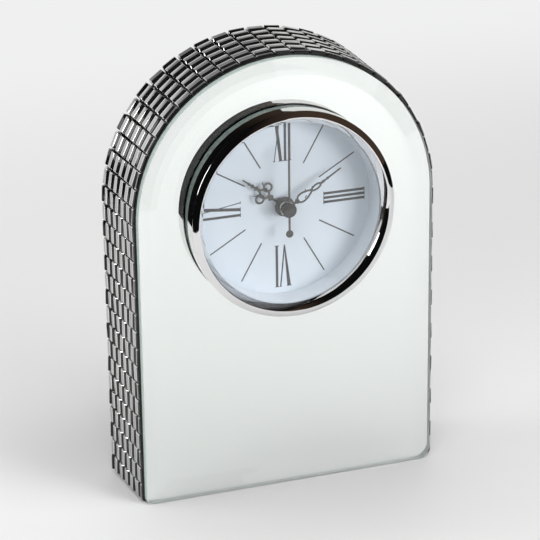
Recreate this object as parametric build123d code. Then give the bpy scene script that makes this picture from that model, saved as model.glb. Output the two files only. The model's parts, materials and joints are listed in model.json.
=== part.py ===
from build123d import *
import os
from math import acos, atan2, cos, degrees, pi, radians, sin, sqrt

os.makedirs("parts", exist_ok=True)

# Arched mirror mantel clock with a mosaic rim, in millimetres.
# X runs to the right of the dial, Y from the dial to the back, Z up from the table.
# A size that ends in _y is a depth measured back from the front face of the glass plate.

# Glass plate
plate_width = 137.2
plate_height = 198.7
plate_thickness = 5.0
bevel_width = 7.5
bevel_depth = 1.3
bevel_corner = 2.2
plate_corner_radius = 6.0

# Wooden case behind the plate
case_depth = 39.0
case_wall = 10.0
front_board_thickness = 9.0
back_panel_thickness = 4.0
board_fit = 0.1
access_margin = 2.5
felt_thickness = 0.6
felt_inset = 2.0

# Mosaic tiles glued round the rim
tile_pitch_target = 8.1
tile_courses = 6
tile_thickness = 2.8
tile_proud = 3.5
tile_gap = 0.4
tile_draft = 12.0
tile_bed = 0.05

# Dial insert: bezel, lens, body and dial
bezel_radius = 46.9
bezel_wall = 6.6
bezel_proud = 8.2
bezel_crest_radius = 43.9
bezel_lip_radius = 41.4
bezel_lip_set_back = 3.8
bezel_skirt = 2.8
bezel_overlap = 0.9
lens_thickness = 1.5
lens_fit = 0.2
dial_depth_y = 8.5
dial_thickness = 0.8
body_wall = 3.0
insert_fit = 0.1

# Hands
hour_angle = 307.0
minute_angle = 58.0
hour_hand_length = 24.4
minute_hand_length = 29.9
second_hand_length = 28.3
second_tail = 10.7
hand_thickness = 0.4
hour_hand_y = 6.1
minute_hand_y = 2.8
second_hand_y = 0.3
hour_boss_radius = 4.0
minute_boss_radius = 3.5
hand_wire = 0.85
hour_curl_reach = 12.1
hour_curl_side = 3.1
hour_curl_radius = 2.05
hour_spur_side = 3.5
hour_spur_reach = 15.7
hour_drop = (8.9, 15.4, 4.2)
hour_leaf = (15.0, 18.2, 3.0)
hour_diamond = (17.7, 20.1, 2.0)
hour_beads = ((1.45, 8.2), (0.75, 20.6))
minute_loops = ((5.8, 13.8, 3.5), (13.2, 18.8, 3.0))
minute_leaf = (18.2, 21.6, 1.5)
minute_spur_side = -2.5
minute_spur_reach = 11.0
minute_spur_root = -1.3
minute_beads = ((1.25, 5.4), (0.85, 13.6), (0.7, 22.3))
spur_width = 1.4
hand_tip_width = 0.9
hand_neck_width = 1.7
drop_tip_wires = 2.5
bead_sides = 8
loop_sides = 20
curl_sides = 12
coil_sides = 12
tail_disc_radius = 1.7
dome_radius = 3.3
dome_height = 1.1
dome_skirt = 0.5
dome_shoulder = 2.0
dome_shoulder_rise = 0.7

# Coaxial shafts
second_arbor_radius = 0.5
shaft_clearance = 0.05
cannon_wall = 0.75
hour_tube_wall = 0.95
bushing_wall = 0.65
bushing_proud = 1.8
hour_tube_proud = 2.0
nut_radius = 3.9
nut_thickness = 1.3

# Movement housing
movement_wall = 1.5
housing_depth = 16.0
housing_corner = 2.0
partition_wall = 1.0
wheel_room = 0.45
pivot_depth = 0.8
pivot_radius = 0.6

# Gear train, front to back: one level for each pair of wheels
tooth_face = 1.3
level_gap = 0.55
first_level_gap = 0.3
motion_module = 0.5
third_module = 0.48
second_module = 0.45
rotor_module = 0.42
cannon_teeth = 10
minute_wheel_teeth = 30
minute_pinion_teeth = 8
hour_wheel_teeth = 32
setting_teeth = 10
centre_teeth = 48
third_pinion_teeth = 6
third_teeth = 45
second_pinion_teeth = 6
second_teeth = 40
intermediate_pinion_teeth = 8
intermediate_teeth = 36
rotor_pinion_teeth = 6
minute_wheel_bearing = 0.0
third_bearing = 150.0
intermediate_bearing = 60.0
rotor_bearing = 20.0
addendum = 0.85
dedendum = 1.75

# Stepping motor
magnet_radius = 2.6
magnet_length = 3.0
rotor_air_gap = 0.4
stator_rim = 1.2
stator_thickness = 0.8
stator_arm = 3.0
coil_radius = 3.6
flange_half = 3.9
bobbin_flange = 0.8
bobbin_tube_radius = 1.9
winding_length = 24.0
core_height = 2.4
core_thickness = 0.8
coil_room = 0.3
coil_floor_gap = 0.1
core_fit = 0.05

# Circuit board
board_width = 18.0
board_height = 10.0
board_thickness = 1.0
board_post = 0.7
board_post_width = 1.6
board_edge_gap = 1.5
crystal_radius = 1.0
crystal_length = 6.0
chip_radius = 2.2
chip_thickness = 0.8

# AA cell and contacts
cell_radius = 7.25
cell_length = 49.5
cell_nub_radius = 2.75
cell_nub_length = 1.0
cell_fit = 0.3
cell_end_fit = 0.1
contact_thickness = 0.6
contact_tab = 0.5
contact_tab_size = 4.5
contact_width = 10.0
contact_height = 9.0

# Setting knob
setting_arbor_radius = 1.0
knob_radius = 6.0
knob_length = 4.3
knob_gap = 0.4
knob_ridges = 18
knob_ridge_depth = 0.5

# Worked-out places
body_depth = plate_thickness + case_depth
plate_front = -(body_depth - bezel_proud) / 2
plate_bottom = felt_thickness
arch_z = plate_bottom + plate_height - plate_width / 2
rim_half_width = plate_width / 2 + tile_proud - tile_thickness - tile_bed
cavity_half_width = rim_half_width - case_wall
cavity_bottom = plate_bottom + case_wall

bezel_bore = bezel_radius - bezel_skirt
body_radius = bezel_bore - insert_fit
window_radius = body_radius - body_wall
insert_hole_radius = body_radius + insert_fit
glass_hole_radius = bezel_radius - bezel_overlap
lens_front_y = -bezel_proud + bezel_lip_set_back
lens_back_y = lens_front_y + lens_thickness
dial_back_y = dial_depth_y + dial_thickness
movement_back_y = dial_back_y + housing_depth
floor_y = dial_back_y + movement_wall
cover_y = movement_back_y - movement_wall

cannon_bore = second_arbor_radius + shaft_clearance
cannon_radius = cannon_bore + cannon_wall
hour_bore = cannon_radius + shaft_clearance
hour_tube_radius = hour_bore + hour_tube_wall
bushing_bore = hour_tube_radius + shaft_clearance
bushing_radius = bushing_bore + bushing_wall


def level(index):
    """Front depth of one layer of the gear train."""
    return floor_y + first_level_gap + index * (tooth_face + level_gap)


level_hour, level_cannon, level_centre, level_third, level_second, level_rotor = (level(i) for i in range(6))

# The wheels that share an arbor share its centre distance, so one module follows from the other.
motion_distance = motion_module * (cannon_teeth + minute_wheel_teeth) / 2
hour_module = 2 * motion_distance / (minute_pinion_teeth + hour_wheel_teeth)
setting_distance = motion_module * (setting_teeth + minute_wheel_teeth) / 2
third_distance = third_module * (second_pinion_teeth + third_teeth) / 2
centre_module = 2 * third_distance / (third_pinion_teeth + centre_teeth)
second_distance = second_module * (second_teeth + intermediate_pinion_teeth) / 2
rotor_distance = rotor_module * (intermediate_teeth + rotor_pinion_teeth) / 2


def step(start, bearing, distance):
    """The point at a distance and bearing from another one, in the dial's plane."""
    return (start[0] + distance * cos(radians(bearing)), start[1] + distance * sin(radians(bearing)))


main_axis = (0.0, 0.0)
minute_wheel_axis = step(main_axis, minute_wheel_bearing, motion_distance)
setting_axis = step(minute_wheel_axis, minute_wheel_bearing, setting_distance)
third_axis = step(main_axis, third_bearing, third_distance)
intermediate_axis = step(main_axis, intermediate_bearing, second_distance)
rotor_axis = step(intermediate_axis, rotor_bearing, rotor_distance)

# The cell lies under the largest wheel and the coil over the third wheel; the housing closes round both.
centre_tip = centre_module * (centre_teeth / 2 + addendum)
third_tip = third_module * (third_teeth / 2 + addendum)
cell_z = -(centre_tip + wheel_room + partition_wall + cell_fit + cell_radius)
cell_y = floor_y + cell_fit + cell_radius
bay_low = cell_z - cell_radius - cell_fit
bay_high = cell_z + cell_radius + cell_fit
bay_half = (cell_length + cell_nub_length) / 2 + cell_end_fit + contact_tab + contact_thickness
coil_z = third_axis[1] + third_tip + wheel_room + flange_half
coil_y = floor_y + flange_half + coil_floor_gap
housing_half = bay_half + movement_wall
housing_low = bay_low - movement_wall
housing_high = coil_z + flange_half + coil_room + movement_wall
housing_height = housing_high - housing_low
housing_mid = (housing_high + housing_low) / 2


def at_depth(y):
    """The dial's plane at one depth, drawn as it is seen from the front."""
    return Plane(origin=(0, plate_front + y, arch_z), x_dir=(1, 0, 0), z_dir=(0, -1, 0))


def slab(sketch, front_y, back_y):
    """A flat piece with the sketch's outline between two depths; its origin is the dial's centre."""
    return extrude(at_depth(back_y) * sketch, amount=back_y - front_y)


def turned(points):
    """A ring or disc turned about the dial's axis from (radius, depth) points."""
    profile = Plane(origin=(0, plate_front, arch_z)) * make_face(Polyline(*points, close=True))
    return revolve(profile, Axis((0, 0, arch_z), (0, 1, 0)), 360)


def ring(outer, inner, front_y, back_y, centre=main_axis):
    """A plain tube or washer along Y."""
    return slab(Pos(*centre) * (Circle(outer) - Circle(inner)), front_y, back_y)


def rod(radius, front_y, back_y, centre=main_axis):
    """A plain pin along Y."""
    return slab(Pos(*centre) * Circle(radius), front_y, back_y)


def arch(half_width, bottom, corner=0.0):
    """Round-topped outline about the dial's centre, with a flat foot and rounded bottom corners."""
    low = bottom - arch_z
    lines = [
        Line((-half_width + corner, low), (half_width - corner, low)),
        Line((half_width, low + corner), (half_width, 0)),
        CenterArc((0, 0), half_width, 0, 180),
        Line((-half_width, 0), (-half_width, low + corner)),
    ]
    if corner:
        lines.insert(1, CenterArc((half_width - corner, low + corner), corner, -90, 90))
        lines.append(CenterArc((-half_width + corner, low + corner), corner, 180, 90))
    return make_face(lines)


# Gear teeth: straight-sided and pointed at tip and root.
def gear_points(teeth, module, phase):
    """Corner points of a gear whose first tooth stands at the phase angle."""
    pitch = 360 / teeth
    root = module * (teeth / 2 - dedendum)
    tip = module * (teeth / 2 + addendum)
    points = []
    for tooth in range(teeth):
        for radius, share in ((root, -1), (tip, 0)):
            angle = radians(phase + pitch * (tooth + share / 2))
            points.append((radius * cos(angle), radius * sin(angle)))
    return points


def gear(teeth, module, phase, front_y, centre=main_axis):
    """A toothed disc one tooth face thick."""
    outline = Pos(*centre) * make_face(Polyline(*gear_points(teeth, module, phase), close=True))
    return slab(outline, front_y, front_y + tooth_face)


def meshed(driver_axis, driver_teeth, driver_phase, axis, teeth):
    """Phase that puts a gap of the second gear opposite a tooth of the first."""
    towards = degrees(atan2(axis[1] - driver_axis[1], axis[0] - driver_axis[0]))
    share = (towards - driver_phase) * driver_teeth / 360
    return towards + 180 - (0.5 - share) * 360 / teeth


minute_wheel_phase = meshed(main_axis, cannon_teeth, 0, minute_wheel_axis, minute_wheel_teeth)
setting_phase = meshed(minute_wheel_axis, minute_wheel_teeth, minute_wheel_phase,
                       setting_axis, setting_teeth)
minute_pinion_phase = meshed(main_axis, hour_wheel_teeth, 0, minute_wheel_axis, minute_pinion_teeth)
third_pinion_phase = meshed(main_axis, centre_teeth, 0, third_axis, third_pinion_teeth)
third_phase = meshed(main_axis, second_pinion_teeth, 0, third_axis, third_teeth)
intermediate_pinion_phase = meshed(main_axis, second_teeth, 0, intermediate_axis, intermediate_pinion_teeth)
rotor_phase = meshed(intermediate_axis, intermediate_teeth, 0, rotor_axis, rotor_pinion_teeth)


# Plate and case
def corner_facet(side):
    """Wedge that grinds the bevel's mitre at one foot of the plate down to a narrow flat."""
    reach = sqrt(2) * (bevel_width + bevel_corner / 2)
    depth = reach * bevel_depth / (sqrt(2) * bevel_width)
    inward = sqrt(0.5)
    place = Plane(origin=(side * plate_width / 2, plate_front, plate_bottom),
                  x_dir=(-side * inward, 0, inward), z_dir=(-inward, 0, -side * inward))
    wedge = make_face(Polyline((0, -bevel_depth), (reach, -bevel_depth), (reach, 0), (0, depth), close=True))
    return extrude(place * wedge, amount=bevel_width, both=True)


def mirror_plate():
    """Thick glass with a wide flat bevel on its front edge and a hole for the insert."""
    plate = slab(arch(plate_width / 2, plate_bottom), 0, plate_thickness)
    face = plate.faces().sort_by(Axis.Y)[0]
    plate = chamfer(face.edges(), bevel_width, bevel_depth, reference=face)
    plate &= slab(arch(plate_width / 2, plate_bottom, plate_corner_radius), 0, plate_thickness)
    for side in (-1, 1):
        plate -= corner_facet(side)
    return plate - slab(Circle(glass_hole_radius), 0, plate_thickness)


def case_rim():
    """Arched wooden frame that carries the tiles, open at the front and the back."""
    frame = arch(rim_half_width, plate_bottom) - arch(cavity_half_width, cavity_bottom)
    return slab(frame, plate_thickness, body_depth)


def front_board():
    """Board inside the rim, glued to the back of the plate, with the insert's hole."""
    outline = arch(cavity_half_width - board_fit, cavity_bottom + board_fit) - Circle(insert_hole_radius)
    return slab(outline, plate_thickness, plate_thickness + front_board_thickness)


def back_panel():
    """Panel let into the back of the rim, with a window round the movement."""
    width = 2 * (housing_half + access_margin)
    window = Pos(0, housing_mid) * Rectangle(width, housing_height + 2 * access_margin)
    outline = arch(cavity_half_width - board_fit, cavity_bottom + board_fit) - window
    return slab(outline, body_depth - back_panel_thickness, body_depth)


def base_felt():
    """Felt under the case; the clock rests on it."""
    length = case_depth - 2 * felt_inset
    middle = plate_front + plate_thickness + case_depth / 2
    width = 2 * (rim_half_width - felt_inset)
    return Pos(0, middle, felt_thickness / 2) * Box(width, length, felt_thickness)


# Mosaic
side_length = arch_z - plate_bottom
side_rows = round(side_length / tile_pitch_target)
arch_rows = round(pi * (rim_half_width + tile_bed) / tile_pitch_target)
side_pitch = side_length / side_rows
arch_step = 180 / arch_rows
tile_length = min(side_pitch, 2 * (rim_half_width + tile_bed) * sin(radians(arch_step / 2))) - tile_gap
course_pitch = case_depth / tile_courses
tile_width = course_pitch - tile_gap


def tile(width):
    """One chip with sloping sides, standing on its back with its length along Y."""
    return extrude(Rectangle(width, tile_length), amount=tile_thickness, taper=tile_draft)


half_tile_width = course_pitch / 2 - tile_gap
full_tile = tile(tile_width)
half_tile = tile(half_tile_width)


def row_of_tiles(index, foot, up):
    """One row across the depth; every other row is shifted by half a tile, with a half tile at each end."""
    if index % 2:
        seats = [(full_tile, (course + 0.5) * course_pitch) for course in range(tile_courses)]
    else:
        seats = [(full_tile, course * course_pitch) for course in range(1, tile_courses)]
        seats.append((half_tile, course_pitch / 4))
        seats.append((half_tile, case_depth - course_pitch / 4))
    tiles = []
    for shape, depth in seats:
        origin = (foot[0], plate_front + plate_thickness + depth, foot[1])
        tiles.append(Plane(origin=origin, x_dir=(0, 1, 0), z_dir=(up[0], 0, up[1])) * shape)
    return tiles


def side_tiles(side, first_row):
    """Tiles on one straight wall, from the foot upwards."""
    tiles = []
    for row in range(side_rows):
        foot = (side * (rim_half_width + tile_bed), plate_bottom + (row + 0.5) * side_pitch)
        tiles += row_of_tiles(first_row + row, foot, (side, 0))
    return tiles


def arch_tiles(first_row):
    """Tiles round the arch, from the left wall over the top to the right wall."""
    tiles = []
    reach = rim_half_width + tile_bed
    for row in range(arch_rows):
        angle = radians(180 - (row + 0.5) * arch_step)
        up = (cos(angle), sin(angle))
        tiles += row_of_tiles(first_row + row, (reach * up[0], arch_z + reach * up[1]), up)
    return tiles


# Dial insert
def bezel():
    """Bezel with a straight wall, a face that rises to a crest, and a funnel down to a lip over the lens."""
    return turned([
        (bezel_bore, 0),
        (bezel_radius, 0),
        (bezel_radius, -bezel_wall),
        (bezel_crest_radius, -bezel_proud),
        (bezel_lip_radius, lens_front_y),
        (bezel_bore, lens_front_y),
    ])


def lens():
    """Flat glass held between the bezel's lip and the insert's body."""
    return rod(bezel_bore - lens_fit, lens_front_y, lens_back_y)


def dial():
    """Dial disc with a hole for the bushing."""
    return ring(body_radius, bushing_radius + shaft_clearance, dial_depth_y, dial_back_y)


def insert_body():
    """White moulded ring between the lens and the dial, which it frames."""
    return ring(body_radius, window_radius, lens_back_y, dial_depth_y)


# Movement housing
def housing_outline():
    """Outline of the movement with its corners cut off."""
    outline = Pos(0, housing_mid) * Rectangle(2 * housing_half, housing_height)
    return chamfer(outline.vertices(), housing_corner)


def cell_bay():
    """Open bay for the cell at the foot of the movement."""
    return Pos(0, cell_z) * Rectangle(2 * bay_half, bay_high - bay_low)


def movement_case():
    """Front tub of the movement, with the cell's bay, posts and pivot holes."""
    tub = slab(housing_outline(), dial_back_y, cover_y)
    room_high = housing_high - movement_wall
    room_low = bay_high + partition_wall
    room = Pos(0, (room_high + room_low) / 2) * Rectangle(2 * bay_half, room_high - room_low)
    tub -= slab(room + cell_bay(), floor_y, cover_y)
    tub += rod(pivot_radius, floor_y, level_centre - level_gap / 2, minute_wheel_axis)
    tub -= rod(bushing_radius, dial_back_y, floor_y)
    hole = pivot_radius + shaft_clearance
    for axis in (third_axis, rotor_axis):
        tub -= rod(hole, floor_y - pivot_depth, floor_y, axis)
    return tub - rod(setting_arbor_radius + shaft_clearance, floor_y - pivot_depth, floor_y, setting_axis)


def movement_cover():
    """Rear cover with the cell's opening, the intermediate wheel's post and two ledges for the board."""
    cover = slab(housing_outline(), cover_y, movement_back_y)
    cover -= slab(cell_bay(), cover_y, movement_back_y)
    cover += rod(pivot_radius, level_second - level_gap / 2, cover_y, intermediate_axis)
    for side in (-1, 1):
        ledge_x = board_middle[0] + side * (board_width - board_post_width) / 2
        ledge = Pos(ledge_x, board_middle[1]) * Rectangle(board_post_width, board_height)
        cover += slab(ledge, cover_y - board_post, cover_y)
    hole = pivot_radius + shaft_clearance
    for axis in (third_axis, rotor_axis):
        cover -= rod(hole, cover_y, cover_y + pivot_depth, axis)
    cover -= rod(second_arbor_radius + shaft_clearance, cover_y, cover_y + pivot_depth)
    return cover - rod(setting_arbor_radius + shaft_clearance, cover_y, movement_back_y, setting_axis)


def shaft_bushing():
    """Threaded brass bushing that passes through the dial."""
    return ring(bushing_radius, bushing_bore, dial_depth_y - bushing_proud, floor_y)


def fixing_nut():
    """Flat nut that clamps the dial to the movement."""
    hexagon = RegularPolygon(nut_radius, 6) - Circle(bushing_radius + shaft_clearance)
    return slab(hexagon, dial_depth_y - nut_thickness, dial_depth_y)


# Wheels
def hour_wheel():
    """Hour wheel and the tube that carries the hour hand."""
    wheel = gear(hour_wheel_teeth, hour_module, 0, level_hour)
    wheel += rod(hour_tube_radius, hour_hand_y - hour_tube_proud, level_hour + tooth_face)
    return wheel - rod(hour_bore, hour_hand_y - hour_tube_proud, level_hour + tooth_face)


def centre_wheel():
    """Centre wheel, cannon pinion and the tube that carries the minute hand."""
    wheel = gear(centre_teeth, centre_module, 0, level_centre)
    wheel += gear(cannon_teeth, motion_module, 0, level_cannon)
    wheel += rod(cannon_radius, minute_hand_y, level_centre + tooth_face)
    return wheel - rod(cannon_bore, minute_hand_y, level_centre + tooth_face)


def second_wheel():
    """Second wheel and pinion on the arbor that carries the second hand."""
    wheel = gear(second_teeth, second_module, 0, level_second)
    wheel += gear(second_pinion_teeth, third_module, 0, level_third)
    return wheel + rod(second_arbor_radius, second_hand_y + hand_thickness, cover_y + pivot_depth / 2)


def third_wheel():
    """Third wheel and pinion on a through arbor."""
    wheel = gear(third_teeth, third_module, third_phase, level_third, third_axis)
    wheel += gear(third_pinion_teeth, centre_module, third_pinion_phase, level_centre, third_axis)
    return wheel + rod(pivot_radius, floor_y - pivot_depth / 2, cover_y + pivot_depth / 2, third_axis)


def intermediate_wheel():
    """Intermediate wheel and pinion, running on the cover's post."""
    hub_radius = second_module * (intermediate_pinion_teeth / 2 - dedendum)
    wheel = gear(intermediate_teeth, rotor_module, 0, level_rotor, intermediate_axis)
    wheel += gear(intermediate_pinion_teeth, second_module, intermediate_pinion_phase,
                  level_second, intermediate_axis)
    back_y = level_rotor + tooth_face
    wheel += rod(hub_radius, level_second, back_y, intermediate_axis)
    return wheel - rod(pivot_radius + shaft_clearance, level_second, back_y, intermediate_axis)


def minute_wheel():
    """Minute wheel and pinion, running on the tub's post."""
    hub_radius = hour_module * (minute_pinion_teeth / 2 - dedendum)
    wheel = gear(minute_wheel_teeth, motion_module, minute_wheel_phase, level_cannon, minute_wheel_axis)
    wheel += gear(minute_pinion_teeth, hour_module, minute_pinion_phase, level_hour, minute_wheel_axis)
    back_y = level_cannon + tooth_face
    wheel += rod(hub_radius, level_hour, back_y, minute_wheel_axis)
    return wheel - rod(pivot_radius + shaft_clearance, level_hour, back_y, minute_wheel_axis)


def rotor():
    """Magnet and pinion of the stepping motor."""
    magnet_y = stator_y + (stator_thickness - magnet_length) / 2
    body = rod(magnet_radius, magnet_y, magnet_y + magnet_length, rotor_axis)
    body += gear(rotor_pinion_teeth, rotor_module, rotor_phase, level_rotor, rotor_axis)
    return body + rod(pivot_radius, floor_y - pivot_depth / 2, cover_y + pivot_depth / 2, rotor_axis)


def setting_knob():
    """Ribbed knob behind the cover, with its arbor and pinion."""
    knob_y = movement_back_y + knob_gap
    ridge = 360 / knob_ridges
    points = []
    for index in range(knob_ridges):
        points.append(step(main_axis, index * ridge, knob_radius))
        points.append(step(main_axis, (index + 0.5) * ridge, knob_radius - knob_ridge_depth))
    knob = slab(Pos(*setting_axis) * make_face(Polyline(*points, close=True)), knob_y, knob_y + knob_length)
    knob += gear(setting_teeth, motion_module, setting_phase, level_cannon, setting_axis)
    return knob + rod(setting_arbor_radius, floor_y - pivot_depth / 2, knob_y, setting_axis)


# Stepping motor and circuit
stator_y = coil_y - core_thickness / 2 - stator_thickness
stator_half = magnet_radius + rotor_air_gap + stator_rim
coil_right = rotor_axis[0] - stator_half
coil_left = coil_right - winding_length - 2 * bobbin_flange
core_left = coil_left - stator_arm
core_right = rotor_axis[0] + stator_half


def block(left, right, low, high):
    """Rectangle in the dial's plane."""
    return Pos((left + right) / 2, (low + high) / 2) * Rectangle(right - left, high - low)


def stator():
    """One-piece iron plate: two poles round the magnet and an arm to the far end of the core."""
    top = coil_z + core_height / 2
    arm_high = coil_z - flange_half - core_fit
    pole = block(coil_right, core_right, rotor_axis[1] - stator_half, top)
    arm = block(core_left, coil_right, arm_high - stator_arm, arm_high)
    rise = block(core_left, coil_left - core_fit, arm_high - stator_arm, top)
    gap = Pos(*rotor_axis) * Circle(magnet_radius + rotor_air_gap)
    return slab(pole + arm + rise - gap, stator_y, stator_y + stator_thickness)


def coil_core():
    """Iron bar through the bobbin, lying on the ends of the stator."""
    bar = block(core_left, core_right, coil_z - core_height / 2, coil_z + core_height / 2)
    return slab(bar, coil_y - core_thickness / 2, coil_y + core_thickness / 2)


def along_x(radius, left, right):
    """A many-sided bar along the coil."""
    length = right - left
    place = Plane(origin=(left, plate_front + coil_y, arch_z + coil_z), x_dir=(0, 1, 0), z_dir=(1, 0, 0))
    return extrude(place * RegularPolygon(radius, coil_sides), amount=length)


def coil_bobbin():
    """Plastic bobbin with two square flanges, slotted for the core."""
    bobbin = along_x(bobbin_tube_radius, coil_left, coil_right)
    for left in (coil_left, coil_right - bobbin_flange):
        flange = block(left, left + bobbin_flange, coil_z - flange_half, coil_z + flange_half)
        bobbin += slab(flange, coil_y - flange_half, coil_y + flange_half)
    slot_high = core_height / 2 + core_fit
    slot_deep = core_thickness / 2 + core_fit
    slot = block(coil_left, coil_right, coil_z - slot_high, coil_z + slot_high)
    return bobbin - slab(slot, coil_y - slot_deep, coil_y + slot_deep)


def coil_winding():
    """Fine copper winding, as one sleeve between the flanges."""
    left = coil_left + bobbin_flange
    right = coil_right - bobbin_flange
    return along_x(coil_radius, left, right) - along_x(bobbin_tube_radius, left, right)


board_back_y = cover_y - board_post
board_left = -bay_half + board_edge_gap
board_low = third_axis[1] + pivot_radius + board_edge_gap
board_middle = (board_left + board_width / 2, board_low + board_height / 2)


def circuit_board():
    """Small board that drives the coil."""
    return slab(Pos(*board_middle) * Rectangle(board_width, board_height),
                board_back_y - board_thickness, board_back_y)


def quartz_crystal():
    """Crystal can lying on the board."""
    front = board_back_y - board_thickness
    origin = (board_middle[0] - crystal_length, plate_front + front - crystal_radius,
              arch_z + board_middle[1] - board_height / 4)
    place = Plane(origin=origin, x_dir=(0, 1, 0), z_dir=(1, 0, 0))
    return extrude(place * Circle(crystal_radius), amount=crystal_length)


def chip_cap():
    """Resin cap over the clock chip."""
    front = board_back_y - board_thickness
    centre = (board_middle[0] + board_width / 4, board_middle[1])
    return slab(Pos(*centre) * RegularPolygon(chip_radius, bead_sides), front - chip_thickness, front)


# Cell and contacts
def battery():
    """AA cell with its nub to the right."""
    left = -(cell_length + cell_nub_length) / 2
    axis_y = plate_front + cell_y
    place = Plane(origin=(left, axis_y, arch_z + cell_z), x_dir=(0, 1, 0), z_dir=(1, 0, 0))
    can = extrude(place * Circle(cell_radius), amount=cell_length)
    return can + extrude(place * Circle(cell_nub_radius), amount=cell_length + cell_nub_length)


def contact(side):
    """Sprung contact plate at one end of the bay, with a raised tab towards the cell."""
    wall = side * bay_half
    place = Plane(origin=(wall, plate_front + cell_y, arch_z + cell_z), x_dir=(0, 1, 0), z_dir=(-side, 0, 0))
    plate = extrude(place * Rectangle(contact_width, contact_height), amount=contact_thickness)
    tab = Rectangle(contact_tab_size, contact_tab_size)
    return plate + extrude(place * tab, amount=contact_thickness + contact_tab)


# Hands, drawn pointing to twelve
def bar(low, high, width):
    """Straight stretch of a hand between two radii."""
    return Pos(0, (low + high) / 2) * Rectangle(width, high - low)


def bead(radius, reach):
    """Small faceted bead on a hand."""
    return Pos(0, reach) * RegularPolygon(radius, bead_sides)


def lozenge(low, high, width):
    """Pointed leaf on a hand."""
    middle = (low + high) / 2
    return make_face(Polyline((0, low), (width / 2, middle), (0, high), (-width / 2, middle), close=True))


def teardrop(low, high, width):
    """Drop-shaped loop, round towards the boss and drawn out towards the tip."""
    radius = width / 2
    centre = low + radius
    turn = acos(radius / (high - centre))
    side = (radius * sin(turn), centre + radius * cos(turn))
    outline = [
        Line((0, high), side),
        ThreePointArc(side, (0, low), (-side[0], side[1])),
        Line((-side[0], side[1]), (0, high)),
    ]
    return make_face(outline)


def pierce(low, high, width):
    """Opening that leaves a wall one wire thick round a drop-shaped loop."""
    return teardrop(low + hand_wire, high - drop_tip_wires * hand_wire, width - 2 * hand_wire)


def oval(low, high, width):
    """Oval loop with a wall one wire thick."""
    half = (high - low) / 2
    turns = [2 * pi * index / loop_sides for index in range(loop_sides)]
    rim, eye = [make_face(Polyline(*[((width / 2 - wall) * cos(t), (half - wall) * sin(t)) for t in turns],
                                   close=True)) for wall in (0, hand_wire)]
    return Pos(0, low + half) * (rim - eye)


def hour_hand():
    """Pierced hour hand: boss, drop with a spurred curl at each side, leaf, diamond and bar."""
    hand = bar(0, hour_drop[0] + hand_wire / 2, hand_neck_width)
    eye = hour_curl_radius - hand_wire
    curl = RegularPolygon(hour_curl_radius, curl_sides) - RegularPolygon(eye, curl_sides)
    curl_top = hour_curl_reach + eye + hand_wire / 4
    for side in (-1, 1):
        hand += Pos(side * hour_curl_side, hour_curl_reach) * curl
        hand += make_face(Polyline((side * hour_curl_side - spur_width / 2, curl_top),
                                   (side * hour_curl_side + spur_width / 2, curl_top),
                                   (side * hour_spur_side, hour_spur_reach), close=True))
    hand = hand + teardrop(*hour_drop) - pierce(*hour_drop)
    hand += bar(hour_drop[1] - drop_tip_wires * hand_wire, hour_hand_length, hand_tip_width)
    hand += lozenge(*hour_leaf) + lozenge(*hour_diamond)
    for radius, reach in hour_beads:
        hand += bead(radius, reach)
    hand += Circle(hour_boss_radius)
    hand -= Circle(hour_tube_radius)
    return slab(Rot(0, 0, -hour_angle) * hand, hour_hand_y, hour_hand_y + hand_thickness)


def minute_hand():
    """Pierced minute hand: boss, large spurred loop, small loop, leaf, beads and bar."""
    hand = bar(0, minute_loops[0][0] + hand_wire / 2, hand_neck_width)
    for low, high, width in minute_loops:
        hand += oval(low, high, width)
    hand += bar(minute_loops[-1][1] - hand_wire, minute_hand_length, hand_tip_width)
    hand += make_face(Polyline((minute_spur_root, minute_spur_reach + spur_width / 2),
                               (minute_spur_side, minute_spur_reach),
                               (minute_spur_root, minute_spur_reach - spur_width / 2), close=True))
    hand += lozenge(*minute_leaf)
    for radius, reach in minute_beads:
        hand += bead(radius, reach)
    hand += Circle(minute_boss_radius)
    hand -= Circle(cannon_radius)
    return slab(Rot(0, 0, -minute_angle) * hand, minute_hand_y, minute_hand_y + hand_thickness)


def second_hand():
    """Thin sweep hand with a disc on its tail and a domed cap."""
    root = hand_tip_width
    tip = hand_tip_width / 2
    blade = make_face(Polyline((-root / 2, 0), (root / 2, 0), (tip / 2, second_hand_length),
                               (-tip / 2, second_hand_length), close=True))
    blade += bar(-second_tail, 0, root) + Pos(0, -second_tail) * Circle(tail_disc_radius)
    base = second_hand_y + hand_thickness
    front = base - dome_skirt
    cap = turned([(0, base), (dome_radius, base), (dome_radius, front),
                  (dome_shoulder, front - dome_height * dome_shoulder_rise), (0, front - dome_height)])
    return slab(blade, second_hand_y, base) + cap


nodes = {
    "mirror_plate": mirror_plate(),
    "case_rim": case_rim(),
    "front_board": front_board(),
    "back_panel": back_panel(),
    "base_felt": base_felt(),
    "tiles_left": Compound(side_tiles(-1, 0)),
    "tiles_arch": Compound(arch_tiles(side_rows)),
    "tiles_right": Compound(side_tiles(1, 0)),
    "bezel": bezel(),
    "lens": lens(),
    "dial": dial(),
    "insert_body": insert_body(),
    "movement_case": movement_case(),
    "movement_cover": movement_cover(),
    "shaft_bushing": shaft_bushing(),
    "fixing_nut": fixing_nut(),
    "hour_wheel": hour_wheel(),
    "hour_hand": hour_hand(),
    "centre_wheel": centre_wheel(),
    "minute_hand": minute_hand(),
    "second_wheel": second_wheel(),
    "second_hand": second_hand(),
    "third_wheel": third_wheel(),
    "intermediate_wheel": intermediate_wheel(),
    "minute_wheel": minute_wheel(),
    "rotor": rotor(),
    "setting_knob": setting_knob(),
    "stator": stator(),
    "coil_core": coil_core(),
    "coil_bobbin": coil_bobbin(),
    "coil_winding": coil_winding(),
    "circuit_board": circuit_board(),
    "quartz_crystal": quartz_crystal(),
    "chip_cap": chip_cap(),
    "battery": battery(),
    "positive_contact": contact(1),
    "negative_contact": contact(-1),
}

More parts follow.
